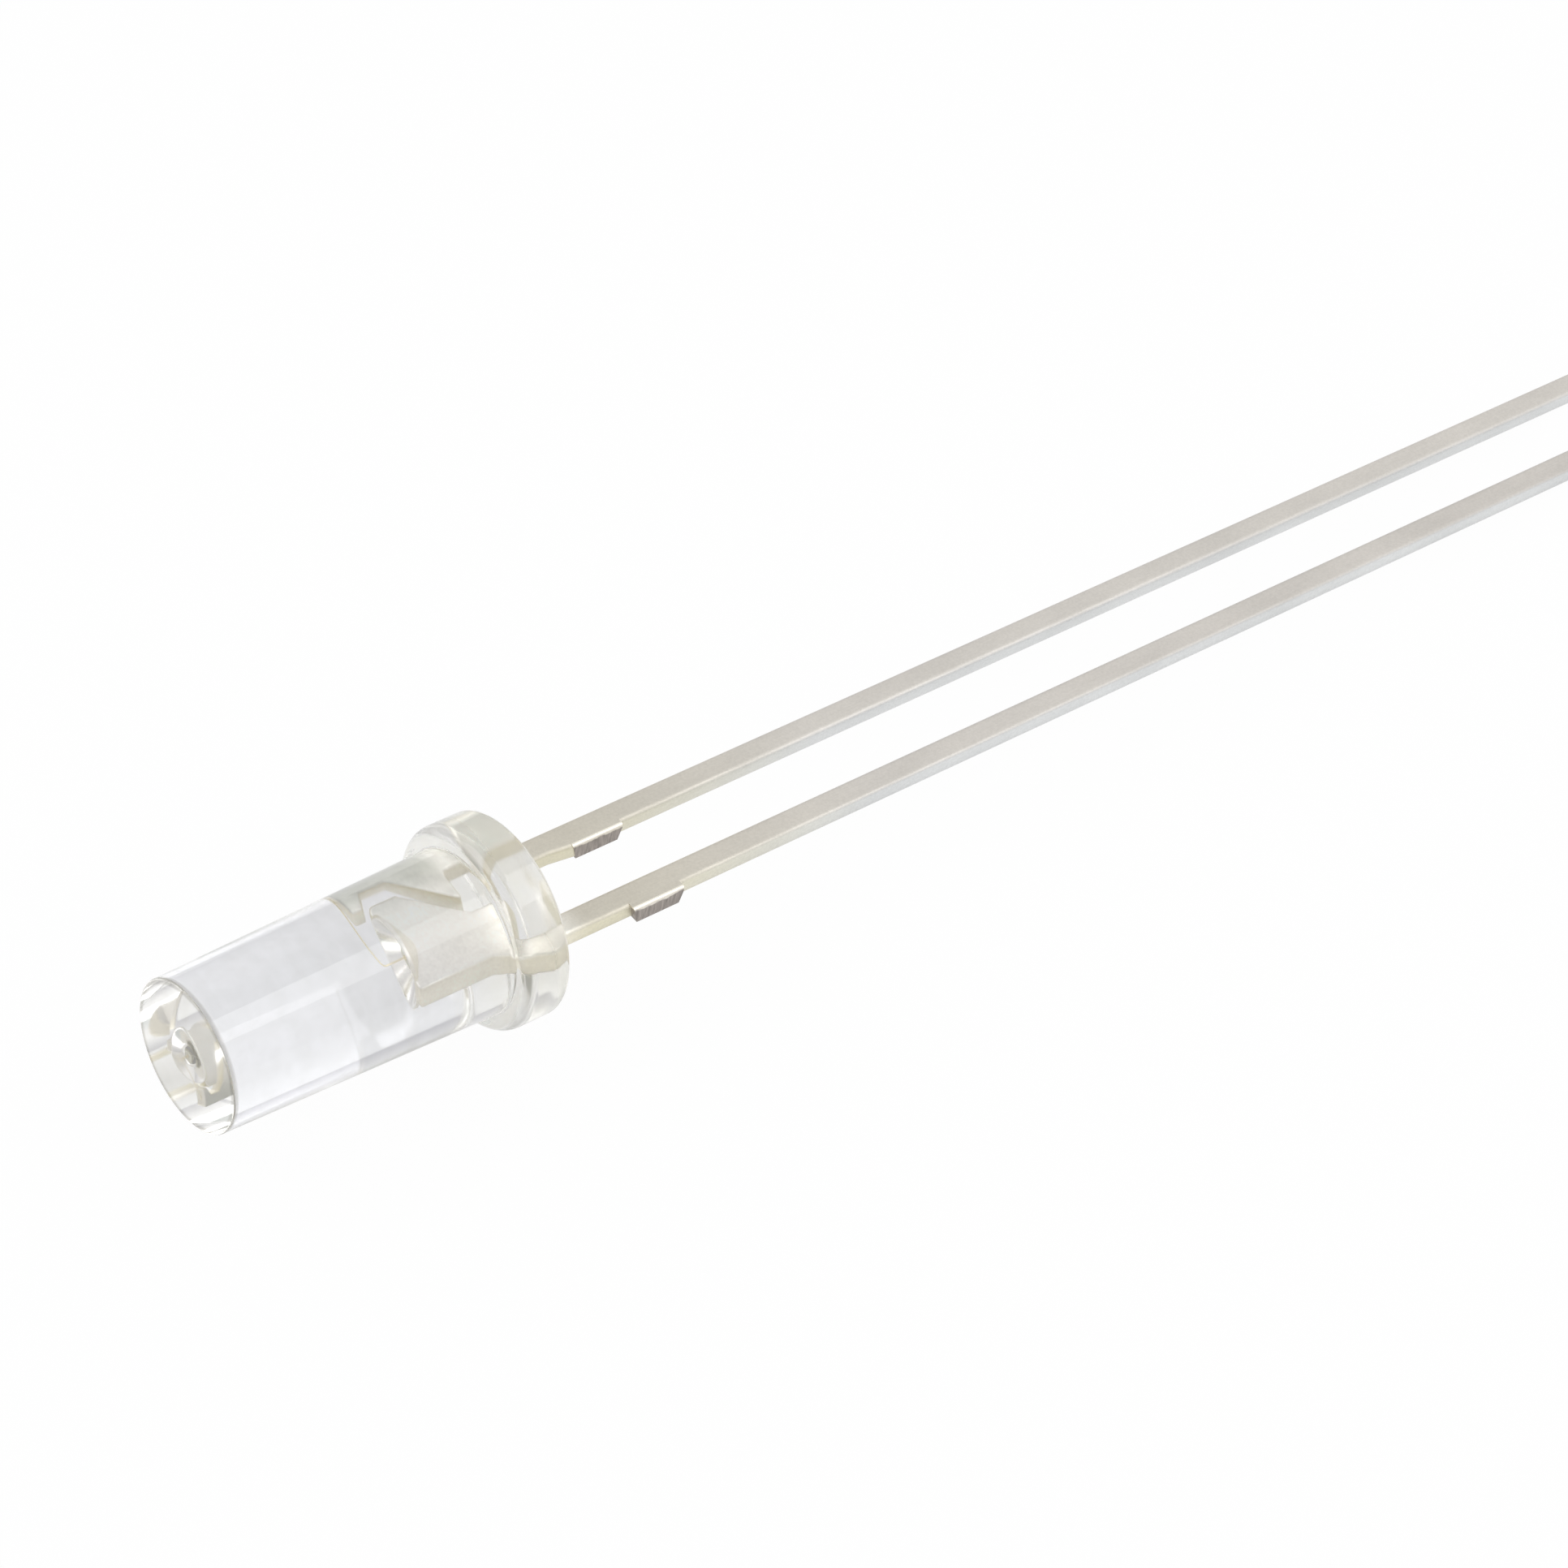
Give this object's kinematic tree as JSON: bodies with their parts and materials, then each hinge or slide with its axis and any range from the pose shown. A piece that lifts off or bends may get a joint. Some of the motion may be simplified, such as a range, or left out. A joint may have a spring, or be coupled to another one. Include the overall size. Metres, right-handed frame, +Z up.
{
  "type": "through hole led",
  "caption": "Clear flat-topped 5 mm through-hole LED with a flange, a stamped two-part lead frame, a reflector cup and long leads.",
  "frame": {"origin": "centre of the seat, the flange's face on the lead side", "axes": "+X runs along the leads towards their tips and, at rest, dips 3.5 degrees below the level; +Z is up; the anode is on the +Y side"},
  "size_m": [0.0516, 0.0056, 0.0057],
  "materials": {
    "epoxy": "clear cast",
    "lead_frame": "satin tin plate",
    "chip": "matt",
    "paste": "matt",
    "wire": "drawn"
  },
  "bodies": {
    "root": {"lens": "epoxy", "cathode_lead": "lead_frame", "anode_lead": "lead_frame", "led_die": "chip", "die_attach": "paste", "bond_wire": "wire"}
  },
  "joints": []
}
